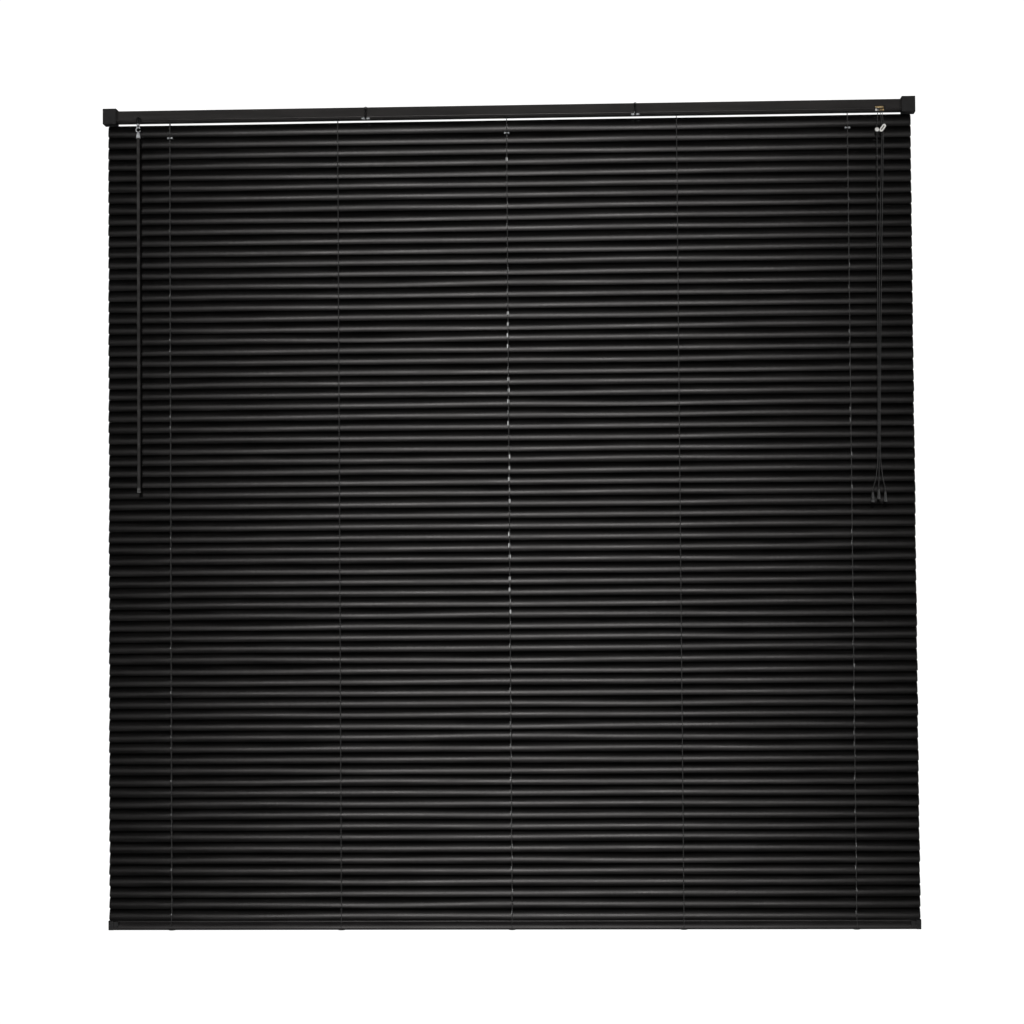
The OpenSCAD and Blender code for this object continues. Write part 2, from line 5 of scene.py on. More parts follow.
import bmesh
import bpy
from mathutils import Euler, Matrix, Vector


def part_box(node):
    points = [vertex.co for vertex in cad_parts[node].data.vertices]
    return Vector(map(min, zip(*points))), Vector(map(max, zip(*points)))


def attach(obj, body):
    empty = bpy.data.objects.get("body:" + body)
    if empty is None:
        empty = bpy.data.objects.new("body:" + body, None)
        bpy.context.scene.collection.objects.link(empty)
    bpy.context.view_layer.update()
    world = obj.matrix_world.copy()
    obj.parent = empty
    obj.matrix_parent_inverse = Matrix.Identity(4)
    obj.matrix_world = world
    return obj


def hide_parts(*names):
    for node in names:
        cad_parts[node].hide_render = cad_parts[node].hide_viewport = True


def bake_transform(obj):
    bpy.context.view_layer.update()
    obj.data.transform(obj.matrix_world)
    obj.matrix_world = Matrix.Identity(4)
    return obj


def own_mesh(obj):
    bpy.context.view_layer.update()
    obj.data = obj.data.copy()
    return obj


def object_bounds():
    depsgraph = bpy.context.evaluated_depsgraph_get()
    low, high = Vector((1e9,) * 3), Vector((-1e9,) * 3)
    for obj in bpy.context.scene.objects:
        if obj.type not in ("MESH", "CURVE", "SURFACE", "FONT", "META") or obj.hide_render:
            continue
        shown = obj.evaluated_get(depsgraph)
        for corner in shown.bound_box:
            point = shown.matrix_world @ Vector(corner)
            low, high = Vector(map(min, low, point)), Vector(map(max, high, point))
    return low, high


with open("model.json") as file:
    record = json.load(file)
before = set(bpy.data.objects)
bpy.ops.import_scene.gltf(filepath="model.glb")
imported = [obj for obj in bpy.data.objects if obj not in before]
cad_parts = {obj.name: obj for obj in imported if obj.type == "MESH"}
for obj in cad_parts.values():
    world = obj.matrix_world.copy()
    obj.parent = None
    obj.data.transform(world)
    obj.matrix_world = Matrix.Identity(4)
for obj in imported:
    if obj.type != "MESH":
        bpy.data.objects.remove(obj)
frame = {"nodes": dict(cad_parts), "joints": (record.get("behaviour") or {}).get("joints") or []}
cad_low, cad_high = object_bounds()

# ---------------------------------------------------------------------------
# Sizes, in metres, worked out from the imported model
# ---------------------------------------------------------------------------

MM = 0.001
JOINTS = {j["name"]: j for j in frame["joints"]}
CLOSED_TILT = math.radians(max(JOINTS["tilt"]["range_deg"]))

SLATS = 72
GROUPS = 15


def group_first(k):
    """The number of the first slat in lifting group k."""
    return k * SLATS // GROUPS


def group_lead(k):
    """The number of the slat that tilts as a body of its own in lifting group k."""
    return group_first(k) + 2


def middle(node):
    """The middle of a CAD node's box."""
    low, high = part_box(node)
    return (low + high) / 2


slat_low, slat_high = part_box("slat_01")
SLAT_L = slat_high.x - slat_low.x
SLAT_Y = sum(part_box("ladder_buttons")[i].y for i in (0, 1)) / 2
PITCH = (middle("slat_01").z - middle("slat_15").z) / (group_lead(14) - group_lead(0))
AXIS_1 = (slat_low.z + slat_high.z) / 2 + group_lead(0) * PITCH
SLAT_W = 25 * MM
SLAT_T = 0.2 * MM
CROWN = 1.2 * MM
HALF_W = SLAT_W / 2
ARCH_R = (HALF_W ** 2 + CROWN ** 2) / (2 * CROWN)
ARCH_HALF = math.asin(HALF_W / ARCH_R)

lift_low, lift_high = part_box("lift_cords")
CORD_R = 0.7 * MM
STRING_R = 0.5 * MM
LIFT_Y = (lift_low.y + lift_high.y) / 2
LADDER_SPAN = (lift_high.x - lift_low.x) / 2 - CORD_R
LADDERS = [i * LADDER_SPAN / 2 for i in range(-2, 3)]
LIFTS = [LADDERS[0], LADDERS[2], LADDERS[4]]

rail_low, rail_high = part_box("bottom_rail")
RAIL_TOP = rail_high.z
RAIL_BOTTOM = rail_low.z
HEAD_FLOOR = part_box("headrail")[0].z
LOCK_X = middle("cord_guide_roller").x


def slat_axis(i):
    """The height of slat i's axis."""
    return AXIS_1 - i * PITCH


# ---------------------------------------------------------------------------
# Camera
# ---------------------------------------------------------------------------

LENS_MM, SENSOR_MM = 89.69, 36
VIEW_DEPTH = 60
CAMERA_PLACE = (0.2317, -5.0, -0.9609)
CAMERA_YAW, CAMERA_PITCH, CAMERA_ROLL = math.radians(2.601), math.radians(1.974), math.radians(0.413)

camera_data = bpy.data.cameras.new("camera")
camera_data.lens = LENS_MM
camera_data.sensor_width = SENSOR_MM
camera_data.clip_end = VIEW_DEPTH
camera = bpy.data.objects.new("camera", camera_data)
camera.location = CAMERA_PLACE
camera.rotation_mode = "XYZ"
turn = (
    Euler((0, 0, CAMERA_YAW)).to_matrix()
    @ Euler((CAMERA_PITCH, 0, 0)).to_matrix()
    @ Euler((0, CAMERA_ROLL, 0)).to_matrix()
    @ Euler((math.radians(90), 0, 0)).to_matrix()
)
camera.rotation_euler = turn.to_euler()
bpy.context.scene.collection.objects.link(camera)
bpy.context.scene.camera = camera

# ---------------------------------------------------------------------------
# Mesh helpers
# ---------------------------------------------------------------------------

# Points closer than this, in metres, are one point
MERGED = 1e-7


class Shape:
    """Points and faces gathered up for one mesh."""

    def __init__(self):
        self.points = []
        self.faces = []

    def add(self, points, faces):
        """Adds points, and faces that count from the first of them."""
        start = len(self.points)
        self.points += [Vector(p) for p in points]
        self.faces += [[start + i for i in f] for f in faces]

    def tube(self, path, radius, sides):
        """A tube along a path; radius is a number or a list with one for each point."""
        path = [Vector(p) for p in path]
        radii = radius if isinstance(radius, list) else [radius] * len(path)
        points, faces = [], []
        side = None
        for i, p in enumerate(path):
            ahead = (path[min(i + 1, len(path) - 1)] - path[max(i - 1, 0)]).normalized()
            if side is None:
                side = ahead.cross(Vector((1, 0, 0)) if abs(ahead.x) < 0.9 else Vector((0, 1, 0)))
            side = (side - ahead * side.dot(ahead)).normalized()
            other = ahead.cross(side)
            for j in range(sides):
                a = 2 * math.pi * j / sides
                points.append(p + radii[i] * (math.cos(a) * side + math.sin(a) * other))
        for i in range(len(path) - 1):
            for j in range(sides):
                a, b = i * sides + j, i * sides + (j + 1) % sides
                faces.append([a, a + sides, b + sides, b])
        faces.append(list(range(sides)))
        faces.append([len(points) - 1 - j for j in range(sides)])
        self.add(points, faces)

    def lathe(self, centre, outline, sides, cross=0.0):
        """A closed outline of (radius, height) turned about an upright axis. cross flattens every other
        point by that share, for flutes."""
        points, faces = [], []
        for r, z in outline:
            for j in range(sides):
                a = 2 * math.pi * j / sides
                k = r * (1 - cross * (j % 2))
                points.append(Vector(centre) + Vector((k * math.cos(a), k * math.sin(a), z)))
        rows = len(outline)
        for i in range(rows):
            for j in range(sides):
                a, b = i * sides + j, i * sides + (j + 1) % sides
                c = ((i + 1) % rows) * sides
                faces.append([a, b, c + (j + 1) % sides, c + j])
        self.add(points, faces)

    def loft(self, sections):
        """Skins a row of closed sections that have the same number of points, and closes the ends."""
        n = len(sections[0])
        points = [p for section in sections for p in section]
        faces = []
        for i in range(len(sections) - 1):
            for j in range(n):
                a, b = i * n + j, i * n + (j + 1) % n
                faces.append([a, b, b + n, a + n])
        faces.append([n - 1 - j for j in range(n)])
        faces.append([(len(sections) - 1) * n + j for j in range(n)])
        self.add(points, faces)

    def rings(self, loops):
        """Skins a ring of closed loops, the last joined back to the first."""
        n = len(loops[0])
        points = [p for loop in loops for p in loop]
        faces = []
        for i in range(len(loops)):
            k = (i + 1) % len(loops)
            for j in range(n):
                faces.append([i * n + j, i * n + (j + 1) % n, k * n + (j + 1) % n, k * n + j])
        self.add(points, faces)

    def piece(self, name, material, body, slot, stands_for=(), smooth=40):
        """Makes the object, smooth apart from edges sharper than smooth degrees, and rides it."""
        mesh = bpy.data.meshes.new(name)
        mesh.from_pydata(self.points, [], self.faces)
        mesh.validate()
        mesh.update()
        mesh.materials.append(material)
        tidy_normals(mesh)
        obj = bpy.data.objects.new(name, mesh)
        bpy.context.scene.collection.objects.link(obj)
        mesh.shade_smooth()
        mesh.set_sharp_from_angle(angle=math.radians(smooth))
        if body:
            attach(obj, body)
        if stands_for:
            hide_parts(*stands_for)
        return obj


def tidy_normals(mesh):
    """Joins points that lie together and turns every face of a mesh to point outward."""
    made = bmesh.new()
    made.from_mesh(mesh)
    bmesh.ops.remove_doubles(made, verts=made.verts, dist=MERGED)
    bmesh.ops.recalc_face_normals(made, faces=made.faces)
    made.to_mesh(mesh)
    made.free()


def smooth_path(points, steps):
    """A smooth curve through the points, with that many steps between each two."""
    points = [Vector(p) for p in points]
    ends = [2 * points[0] - points[1]] + points + [2 * points[-1] - points[-2]]
    path = []
    for i in range(1, len(ends) - 2):
        p0, p1, p2, p3 = ends[i - 1 : i + 3]
        for s in range(steps):
            t = s / steps
            path.append(
                0.5
                * (
                    2 * p1
                    + (p2 - p0) * t
                    + (2 * p0 - 5 * p1 + 4 * p2 - p3) * t ** 2
                    + (3 * p1 - p0 - 3 * p2 + p3) * t ** 3
                )
            )
    path.append(points[-1])
    return path


# ---------------------------------------------------------------------------
# Materials
# ---------------------------------------------------------------------------


def new_material(name):
    """A material with its node tree, its shader and the point in the object's own space."""
    material = bpy.data.materials.new(name)
    material.use_nodes = True
    tree = material.node_tree
    shader = tree.nodes["Principled BSDF"]
    where = tree.nodes.new("ShaderNodeTexCoord").outputs["Object"]
    return material, tree, shader, where


def stretched(tree, where, scale):
    """The point scaled along each axis, for grain."""
    node = tree.nodes.new("ShaderNodeMapping")
    node.inputs["Scale"].default_value = scale
    tree.links.new(where, node.inputs["Vector"])
    return node.outputs["Vector"]


def noise(tree, where, scale, detail):
    """Fractal noise, for the most part between 0.3 and 0.7."""
    node = tree.nodes.new("ShaderNodeTexNoise")
    node.inputs["Scale"].default_value = scale
    node.inputs["Detail"].default_value = detail
    node.inputs["Roughness"].default_value = 0.55
    tree.links.new(where, node.inputs["Vector"])
    return node.outputs["Fac"]


def ranged(tree, value, low, high, start=0.3, end=0.7):
    """The value mapped from start..end to low..high."""
    node = tree.nodes.new("ShaderNodeMapRange")
    node.inputs["From Min"].default_value = start
    node.inputs["From Max"].default_value = end
    node.inputs["To Min"].default_value = low
    node.inputs["To Max"].default_value = high
    tree.links.new(value, node.inputs["Value"])
    return node.outputs["Result"]


def mixed(tree, factor, first, second):
    """A colour between two colours."""
    node = tree.nodes.new("ShaderNodeMix")
    node.data_type = "RGBA"
    node.inputs["A"].default_value = (*first, 1)
    node.inputs["B"].default_value = (*second, 1)
    tree.links.new(factor, node.inputs["Factor"])
    return node.outputs["Result"]


def bump(tree, shader, height, strength, distance):
    """Raises the surface by height, over a distance in metres."""
    node = tree.nodes.new("ShaderNodeBump")
    node.inputs["Strength"].default_value = strength
    node.inputs["Distance"].default_value = distance
    tree.links.new(height, node.inputs["Height"])
    tree.links.new(node.outputs["Normal"], shader.inputs["Normal"])


def painted(name, dark, light, rough, grain=(0.06, 1, 1), peel=900, peel_depth=0.12):
    """Satin enamel on rolled metal: long faint streaks along the grain, cloudy tone and orange peel."""
    material, tree, shader, where = new_material(name)
    streak = noise(tree, stretched(tree, where, grain), scale=160, detail=3)
    cloud = noise(tree, where, scale=9, detail=5)
    blend = tree.nodes.new("ShaderNodeMath")
    blend.operation = "MULTIPLY"
    tree.links.new(streak, blend.inputs[0])
    tree.links.new(cloud, blend.inputs[1])
    tone = ranged(tree, blend.outputs["Value"], 0, 1, start=0.15, end=0.4)
    tree.links.new(mixed(tree, tone, dark, light), shader.inputs["Base Color"])
    tree.links.new(ranged(tree, streak, rough - 0.035, rough + 0.035), shader.inputs["Roughness"])
    bump(tree, shader, noise(tree, where, scale=peel, detail=2), strength=peel_depth, distance=0.0001)
    return material


def moulded(name, dark, light, rough, coat=0.0):
    """Moulded plastic: fine spark texture, slightly blotched colour and gloss."""
    material, tree, shader, where = new_material(name)
    blotch = noise(tree, where, scale=60, detail=4)
    tree.links.new(mixed(tree, ranged(tree, blotch, 0, 1), dark, light), shader.inputs["Base Color"])
    tree.links.new(ranged(tree, blotch, rough - 0.06, rough + 0.06), shader.inputs["Roughness"])
    shader.inputs["Coat Weight"].default_value = coat
    shader.inputs["Coat Roughness"].default_value = 0.12
    bump(tree, shader, noise(tree, where, scale=2500, detail=2), strength=0.2, distance=0.0001)
    return material


def metal(name, dark, light, rough, grain=(1, 1, 0.05)):
    """Drawn or plated metal with fine scratches along its grain."""
    material, tree, shader, where = new_material(name)
    scratch = noise(tree, stretched(tree, where, grain), scale=1800, detail=3)
    tree.links.new(mixed(tree, ranged(tree, scratch, 0, 1), dark, light), shader.inputs["Base Color"])
    tree.links.new(ranged(tree, scratch, rough - 0.08, rough + 0.1), shader.inputs["Roughness"])
    shader.inputs["Metallic"].default_value = 0.55
    bump(tree, shader, scratch, strength=0.15, distance=0.00005)
    return material


def clear(name, tint, rough, through=0.55):
    """Clear moulded plastic with faint flow marks."""
    material, tree, shader, where = new_material(name)
    flow = noise(tree, stretched(tree, where, (1, 1, 0.3)), scale=220, detail=3)
    colour = mixed(tree, ranged(tree, flow, 0, 1), tint, (0.93, 0.95, 0.96))
    tree.links.new(colour, shader.inputs["Base Color"])
    tree.links.new(ranged(tree, flow, rough, rough + 0.12), shader.inputs["Roughness"])
    shader.inputs["Transmission Weight"].default_value = through
    shader.inputs["IOR"].default_value = 1.49
    bump(tree, shader, flow, strength=0.12, distance=0.0002)
    return material


def braided(name, dark, light, braid):
    """Braided polyester cord: crossing strands, finer for a larger braid, with a soft sheen. Its colour is
    painted lighter on the strands and darker in the grooves between them: painted shade.
    """
    material, tree, shader, where = new_material(name)
    strands = []
    for lean in (1, -1):
        wave = tree.nodes.new("ShaderNodeTexWave")
        wave.wave_type = "BANDS"
        wave.bands_direction = "DIAGONAL"
        wave.inputs["Scale"].default_value = 1.0
        wave.inputs["Distortion"].default_value = 0.4
        tree.links.new(stretched(tree, where, (lean * braid, lean * braid, braid)), wave.inputs["Vector"])
        strands.append(wave.outputs["Fac"])
    weave = tree.nodes.new("ShaderNodeMath")
    weave.operation = "MAXIMUM"
    for i in (0, 1):
        tree.links.new(strands[i], weave.inputs[i])
    height = weave.outputs["Value"]
    # Painted shade: the colour goes darker where the braid's height is lower, in the grooves between the
    # strands.
    colour = mixed(tree, ranged(tree, height, 0, 1, start=0.2, end=1), dark, light)
    tree.links.new(colour, shader.inputs["Base Color"])
    tree.links.new(ranged(tree, height, 0.75, 0.55, start=0.2, end=1), shader.inputs["Roughness"])
    shader.inputs["Sheen Weight"].default_value = 0.25
    shader.inputs["Sheen Roughness"].default_value = 0.5
    bump(tree, shader, height, strength=0.6, distance=0.0003)
    return material


SLAT_PAINT = painted("slat_paint", (0.0008, 0.0007, 0.0007), (0.0020, 0.0018, 0.0017), 0.21)
HEAD_PAINT = painted("headrail_paint", (0.012, 0.011, 0.0105), (0.022, 0.020, 0.019), 0.37)
RAIL_PAINT = painted("rail_paint", (0.007, 0.0063, 0.0063), (0.012, 0.011, 0.011), 0.25)
BRACKET_PAINT = painted(
    "bracket_paint", (0.005, 0.0048, 0.0048), (0.010, 0.0096, 0.0096), 0.42,
    grain=(1, 1, 1), peel=1200, peel_depth=0.3,
)
BLACK_PLASTIC = moulded("black_plastic", (0.006, 0.006, 0.006), (0.012, 0.012, 0.012), 0.42)
WAND_PLASTIC = moulded("wand_plastic", (0.018, 0.017, 0.0165), (0.034, 0.032, 0.031), 0.38, coat=0.3)
WHITE_PLASTIC = moulded("white_plastic", (0.72, 0.71, 0.67), (0.82, 0.81, 0.78), 0.3)
CLEAR_PLASTIC = clear("clear_plastic", (0.78, 0.82, 0.85), 0.12)
CLEAR_STRAP = clear("clear_strap", (0.9, 0.92, 0.93), 0.08, through=1.0)
BRIGHT_STEEL = metal("bright_steel", (0.6, 0.61, 0.63), (0.82, 0.83, 0.85), 0.34)
BRASS = metal("brass", (0.62, 0.44, 0.2), (0.85, 0.68, 0.4), 0.36, grain=(0.05, 1, 1))
PULL_CORD = braided("pull_cord", (0.004, 0.004, 0.004), (0.012, 0.0115, 0.011), 900)
LADDER_CORD = braided("ladder_cord", (0.004, 0.004, 0.004), (0.013, 0.012, 0.0115), 1300)
# The knot in each tassel is painted pale grey, far lighter than the black cord it is tied in: a painted
# highlight.
KNOT_HIGHLIGHT_PAINT = braided("knot_painted_highlight", (0.3, 0.29, 0.27), (0.6, 0.58, 0.54), 1300)

# ---------------------------------------------------------------------------
# Pull cords, with their stops and tassels
# ---------------------------------------------------------------------------

# Each pull cord's route down from the cord lock, in mm: (shift from the lock along X, Y, Z)
PULL_ROUTES = {
    "left": [
        (-4, -24.9, -7.4), (-4, -26.6, -7.2), (-4, -28.5, -8.4), (-3.6, -29.3, -10.6), (-6, -31.8, -43),
        (-6, -31.8, -58), (-8, -32.5, -300), (-11, -33, -640), (-15, -33, -720), (-22.5, -33, -751),
        (-22.5, -33, -761),
    ],
    "middle": [
        (0, -24.9, -7.4), (0, -26.6, -7.2), (0, -28.5, -8.4), (0, -29.3, -10.6), (3.6, -31.8, -38),
        (3.6, -31.8, -60), (-4, -32.5, -300), (-9, -33, -640), (-10, -33, -715), (-11, -33, -745),
        (-11, -33, -755),
    ],
    "right": [
        (4, -24.9, -7.4), (4, -26.6, -7.2), (4, -28.5, -8.4), (4, -29.3, -10.6), (6.4, -31.8, -38),
        (6.4, -31.8, -60), (0, -32.5, -300), (-7, -33, -640), (-4, -33, -720), (1.6, -33, -750),
        (1.6, -33, -760),
    ],
}

# The first points of a route lead from the lock to the cord stops, and the others hang below them
NEAR_LOCK = 5
LOCK_STEPS, HANG_STEPS = 3, 6

TASSEL_H = 21 * MM
TASSEL_INSIDE = 5 * MM
# Outlines of a tassel and of the knot in it: (radius, height) in mm
TASSEL_OUTLINE = [
    (0.9, 21), (1.5, 21), (1.8, 20.4), (1.95, 18.5), (2.1, 15.5), (2.4, 12), (2.8, 8), (3.25, 4),
    (3.45, 1.8), (3.4, 0.6), (3.1, 0), (2.6, 0), (2.4, 0.5), (2.3, 4), (1.5, 7), (0.9, 8),
]
KNOT_OUTLINE = [(0.01, -0.3), (0.9, 0), (1.6, 0.9), (1.75, 1.9), (1.5, 3), (0.8, 3.8), (0.01, 4)]
KNOT_RAISED = 0.2 * MM


def in_metres(outline):
    """An outline's pairs turned from mm to metres."""
    return [(a * MM, b * MM) for a, b in outline]


def tassel(name, foot):
    """A fluted bell with a hollow underside, and the cord's knot inside it, painted pale grey as a painted
    highlight on the black cord's end.
    """
    bell = Shape()
    bell.lathe(foot, in_metres(TASSEL_OUTLINE), 36, cross=0.05)
    body = bell.piece(name, BLACK_PLASTIC, "pulls", "black_plastic", ["tassels"])
    knot = Shape()
    knot.lathe(foot + Vector((0, 0, KNOT_RAISED)), in_metres(KNOT_OUTLINE), 20, cross=0.12)
    end = knot.piece(name + "_knot", KNOT_HIGHLIGHT_PAINT, "pulls", "cord")
    return body, end


def pull_cord(side, route):
    """One pull cord with its tassel. Its stretch above the stops runs from the lock down to them."""
    points = [Vector((LOCK_X + x * MM, y * MM, z * MM)) for x, y, z in route]
    path = smooth_path(points[:NEAR_LOCK], LOCK_STEPS)
    path += smooth_path(points[NEAR_LOCK:-1], HANG_STEPS) + points[-1:]
    bell, knot = tassel("tassel_" + side, points[-1] + Vector((0, 0, TASSEL_INSIDE - TASSEL_H)))
    line = Shape()
    line.tube(path, CORD_R, 10)
    cord = line.piece("pull_cord_" + side, PULL_CORD, None, "cord", ["pull_cords"], 60)
    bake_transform(cord)


for pull_side, pull_route in PULL_ROUTES.items():
    pull_cord(pull_side, pull_route)

STOP_Y = PULL_ROUTES["left"][4][1] * MM
BALL_R = 4.2 * MM
BALL = Vector((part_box("cord_stops")[0].x + BALL_R, STOP_Y, -50 * MM))
BALL_HOLE_R = 0.93 * MM
BALL_HOLE_END = 0.93 * BALL_R
LINK = Vector((LOCK_X + 5 * MM, STOP_Y, BALL.z + 3 * MM))
LINK_L, LINK_W, LINK_T = 17 * MM, 7.5 * MM, 4 * MM
LINK_LEAN = math.radians(35)
# The link's rounded outside: (place across its thickness, how far it is drawn in), both as shares of half
# its thickness
LINK_ROUND = [(1, 0.5), (1, 0.42), (0.8, 0.16), (0.5, 0.0), (-0.5, 0.0), (-0.8, 0.16), (-1, 0.42), (-1, 0.5)]
LINK_SLOT_L, LINK_SLOT_W = LINK_L - 7 * MM, 1.7 * MM
LINK_SLOT_FLARE = 0.6 * MM


def cord_stop_ball():
    """A ball with a hole down its middle."""
    ball = Shape()
    angles = [math.radians(15 + 10 * i) for i in range(16)]
    outline = [(BALL_HOLE_R, BALL_HOLE_END)]
    outline += [(BALL_R * math.sin(a), BALL_R * math.cos(a)) for a in angles]
    outline.append((BALL_HOLE_R, -BALL_HOLE_END))
    ball.lathe(BALL, outline, 36)
    ball.piece("cord_stop_ball", WHITE_PLASTIC, "pulls", "white_plastic", ["cord_stops"])


def obround(w, d, steps=8):
    """Points round an obround w along X and d along Y."""
    r = d / 2
    points = []
    for s in (1, -1):
        for i in range(steps + 1):
            a = math.pi * (i / steps - 0.5) + (0 if s > 0 else math.pi)
            points.append(Vector((s * (w / 2 - r) + r * math.cos(a), r * math.sin(a), 0)))
    return points


def leaning_loop(w, d, y):
    """An obround standing in the plane y, leaning to the right about the link's middle."""
    points = []
    sin, cos = math.sin(LINK_LEAN), math.cos(LINK_LEAN)
    for p in obround(w, d):
        points.append(LINK + Vector((p.x * sin - p.y * cos, y, p.x * cos + p.y * sin)))
    return points


def cord_stop_link():
    """A leaning ring, rounded outside, with a slot through it from front to back."""
    link = Shape()
    half = LINK_T / 2
    loops = [leaning_loop(LINK_L - 2 * i * half, LINK_W - 2 * i * half, -t * half) for t, i in LINK_ROUND]
    for t in (-1, -0.85, 0.85, 1):
        flare = LINK_SLOT_FLARE if abs(t) == 1 else 0
        loops.append(leaning_loop(LINK_SLOT_L + flare, LINK_SLOT_W + flare, -t * half))
    link.rings(loops)
    link.piece("cord_stop_link", WHITE_PLASTIC, "pulls", "white_plastic", ["cord_stops"])


cord_stop_ball()
cord_stop_link()

# ---------------------------------------------------------------------------
# Cord rollers in the headrail's mouth
# ---------------------------------------------------------------------------

guide_low, guide_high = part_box("cord_guide_roller")
GUIDE_Y, GUIDE_Z = middle("cord_guide_roller").y, middle("cord_guide_roller").z
GUIDE_R = (guide_high.z - guide_low.z) / 2 / MM
SPINDLE_R = 1
KNURLS = 9


def turned_bar(name, stations, material, slot):
    """A sleeve on its spindle, turned about an axis along X, from (shift along X, radius) in mm."""
    bar = Shape()
    path = [Vector((LOCK_X + x * MM, GUIDE_Y, GUIDE_Z)) for x, _ in stations]
    bar.tube(path, [r * MM for _, r in stations], 32)
    bar.piece(name, material, "root", slot, ["cord_guide_roller"])


def guide_rollers():
    """The white sleeve, waisted for its cord, and the brass one, knurled."""
    waisted = [(-10.4, SPINDLE_R), (-8.3, SPINDLE_R), (-8.2, GUIDE_R - 0.5), (-7.7, GUIDE_R)]
    waisted += [(-5.8, GUIDE_R - 0.15), (-3, GUIDE_R), (-2.2, GUIDE_R - 0.5), (-2.1, SPINDLE_R)]
    waisted.append((-1.2, SPINDLE_R))
    turned_bar("guide_roller_white", waisted, WHITE_PLASTIC, "white_plastic")
    knurled = [(-1.2, SPINDLE_R), (-1.1, GUIDE_R - 0.4), (-0.8, GUIDE_R)]
    for i in range(KNURLS):
        knurled += [(i - 0.4, GUIDE_R), (i - 0.2, GUIDE_R - 0.3)]
        knurled += [(i + 0.1, GUIDE_R - 0.3), (i + 0.3, GUIDE_R)]
    knurled += [(8.1, GUIDE_R - 0.3), (8.2, SPINDLE_R), (10.4, SPINDLE_R)]
    turned_bar("guide_roller_brass", knurled, BRASS, "brass")


guide_rollers()

# ---------------------------------------------------------------------------
# Slats and their ladder rungs
# ---------------------------------------------------------------------------

# The slats' holes for the lift cords: those in OPEN_HOLES are wide at the middle ladder, where the
# light behind shows through them, and all the others close snugly round their cord
ROUT_L = 10 * MM
ROUT_W = 3 * MM
SNUG_W = 1.5 * MM
OPEN_HOLES = {3, 17, 18, 19, 20, 23, 24, 25, 27, 30, 31, 32, 34, 37, 38, 39, 41, 42, 44}
MIDDLE_HOLE = 1

# A slat is a grid: rows across it and columns along it, with a patch round each hole
END_R = 4 * MM
ROWS_MM = [-12.5, -12.1, -11.2, -9.5, -6, -3, 0, 3, 6, 9.5, 11.2, 12.1, 12.5]
ROWS = [v * MM for v in ROWS_MM]
HOLE_ROWS = (4, 8)
HOLE_COLUMN = 1.2 * MM
PATCH_HALF = 4 * MM
COLUMN_GAP = 26 * MM
# A hole's rim is looked for along rays this many times as long as the way to the patch's points
RAY = 4
RIM_STEPS = 24


def slat_columns():
    """The columns' places along a slat, and where the holes' patches start."""
    stops = [-SLAT_L / 2]
    patches = []
    for x in LIFTS:
        stops += [x - PATCH_HALF, x + PATCH_HALF]
    stops.append(SLAT_L / 2)
    columns = []
    for i in range(0, len(stops), 2):
        a, b = stops[i], stops[i + 1]
        n = max(2, round((b - a) / COLUMN_GAP))
        columns += [a + (b - a) * j / n for j in range(n + 1)]
        if i + 2 < len(stops):
            patches.append(len(columns) - 1)
            columns += [LIFTS[i // 2] + s * HOLE_COLUMN for s in (-1, 1)]
    return columns, patches


COLUMNS, PATCHES = slat_columns()


def corner_shift(v):
    """How far the slat's rounded corner draws its end in at v."""
    over = abs(v) - (HALF_W - END_R)
    return END_R - math.sqrt(max(0.0, END_R ** 2 - over ** 2)) if over > 0 else 0.0


def arch(v, lift):
    """The point (across, up) of the slat's arched section at v, moved out by lift."""
    a = v / HALF_W * ARCH_HALF
    r = ARCH_R + lift
    return r * math.sin(a), r * math.cos(a) - ARCH_R + CROWN


# How slats differ, in degrees and mm: spreads of twist, drop and lean, the lean's trend from the
# highest slat to the lowest, and the sharper twist that some slats have
KNOTS = 7
SEED = 1000
SHIFT_SPREAD, TWIST_SPREAD, DROP_SPREAD, LEAN_SPREAD = 0.5, 0.55, 0.22, 0.25
LEAN_TOP, LEAN_FALL = 4.0, 9.5
LAST_DROP = -0.6 * MM
KINKED_SHARE = 0.2
KINK_KNOTS = (2, 3, 4)
KINK_TWIST = (0.8, 1.6)


class Hang:
    """How one slat hangs: small differences in twist, height and place along its length."""

    def __init__(self, i):
        draw = random.Random(SEED + i)
        self.shift = draw.uniform(-SHIFT_SPREAD, SHIFT_SPREAD) * MM
        self.twist = [math.radians(draw.gauss(0, TWIST_SPREAD)) for _ in range(KNOTS)]
        self.drop = [draw.gauss(0, DROP_SPREAD) * MM for _ in range(KNOTS)]
        self.lean = math.radians(draw.gauss(0, LEAN_SPREAD) + LEAN_TOP - LEAN_FALL * i / (SLATS - 1))
        if i == SLATS - 1:
            self.drop = [LAST_DROP] * KNOTS
        if draw.random() < KINKED_SHARE:
            knot = draw.choice(KINK_KNOTS)
            self.twist[knot] += math.radians(draw.choice((-1, 1)) * draw.uniform(*KINK_TWIST))

    def at(self, x):
        """The twist and drop at x, smooth between knots spaced along the slat."""
        t = (x / SLAT_L + 0.5) * (KNOTS - 1)
        k = min(KNOTS - 2, max(0, int(t)))
        s = t - k
        s = s * s * (3 - 2 * s)
        twist = self.twist[k] * (1 - s) + self.twist[k + 1] * s
        drop = self.drop[k] * (1 - s) + self.drop[k + 1] * s
        return twist + self.lean, drop


def place_on_slat(i, hang, x, v, lift):
    """A point of closed slat i: x along it, v across it, and lift out of its arched face."""
    across, up = arch(v, lift)
    twist, drop = hang.at(x)
    a = CLOSED_TILT + twist
    y = across * math.cos(a) - up * math.sin(a)
    z = across * math.sin(a) + up * math.cos(a)
    return Vector((x + hang.shift, SLAT_Y + y, slat_axis(i) + z + drop))


def hole_loop(c0):
    """The grid places round a hole's patch that starts at column c0, in order."""
    r0, r1 = HOLE_ROWS
    c1 = c0 + 3
    loop = [(c, r0) for c in range(c0, c1)]
    loop += [(c1, r) for r in range(r0, r1)]
    loop += [(c, r1) for c in range(c1, c0, -1)]
    loop += [(c0, r) for r in range(r1, r0, -1)]
    return loop


